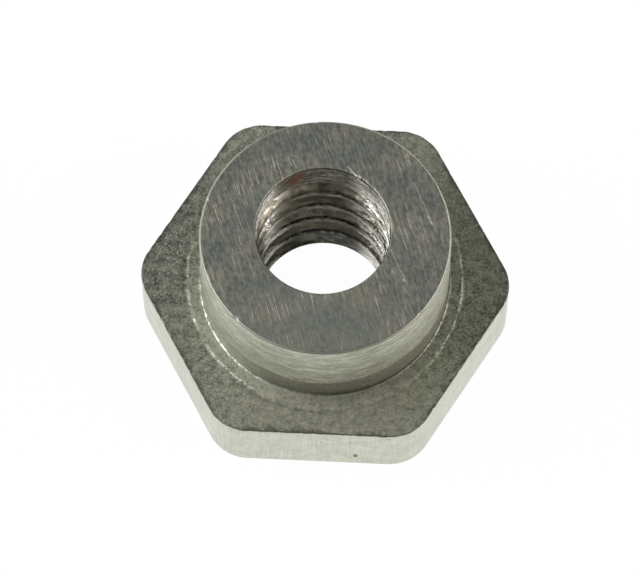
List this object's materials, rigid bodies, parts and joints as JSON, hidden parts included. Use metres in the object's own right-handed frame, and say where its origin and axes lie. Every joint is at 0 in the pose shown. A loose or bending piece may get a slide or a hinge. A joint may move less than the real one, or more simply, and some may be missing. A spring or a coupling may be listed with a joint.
{
  "type": "pivot nut",
  "caption": "Hexagon head nut with a round pivot boss and a tapped through hole, turned in one piece. A lever turns on the boss while a screw holds the nut.",
  "frame": {"origin": "on the axis of the boss, at the underside of the hexagon head", "axes": "+Z along the boss, away from the head; one flat of the head faces -Y and one corner lies on +X"},
  "size_m": [0.0142, 0.0126, 0.0072],
  "materials": {
    "turned_steel": "turned and sanded plain steel, lightly worn"
  },
  "bodies": {
    "root": {"pivot_nut": "turned_steel"}
  },
  "joints": []
}
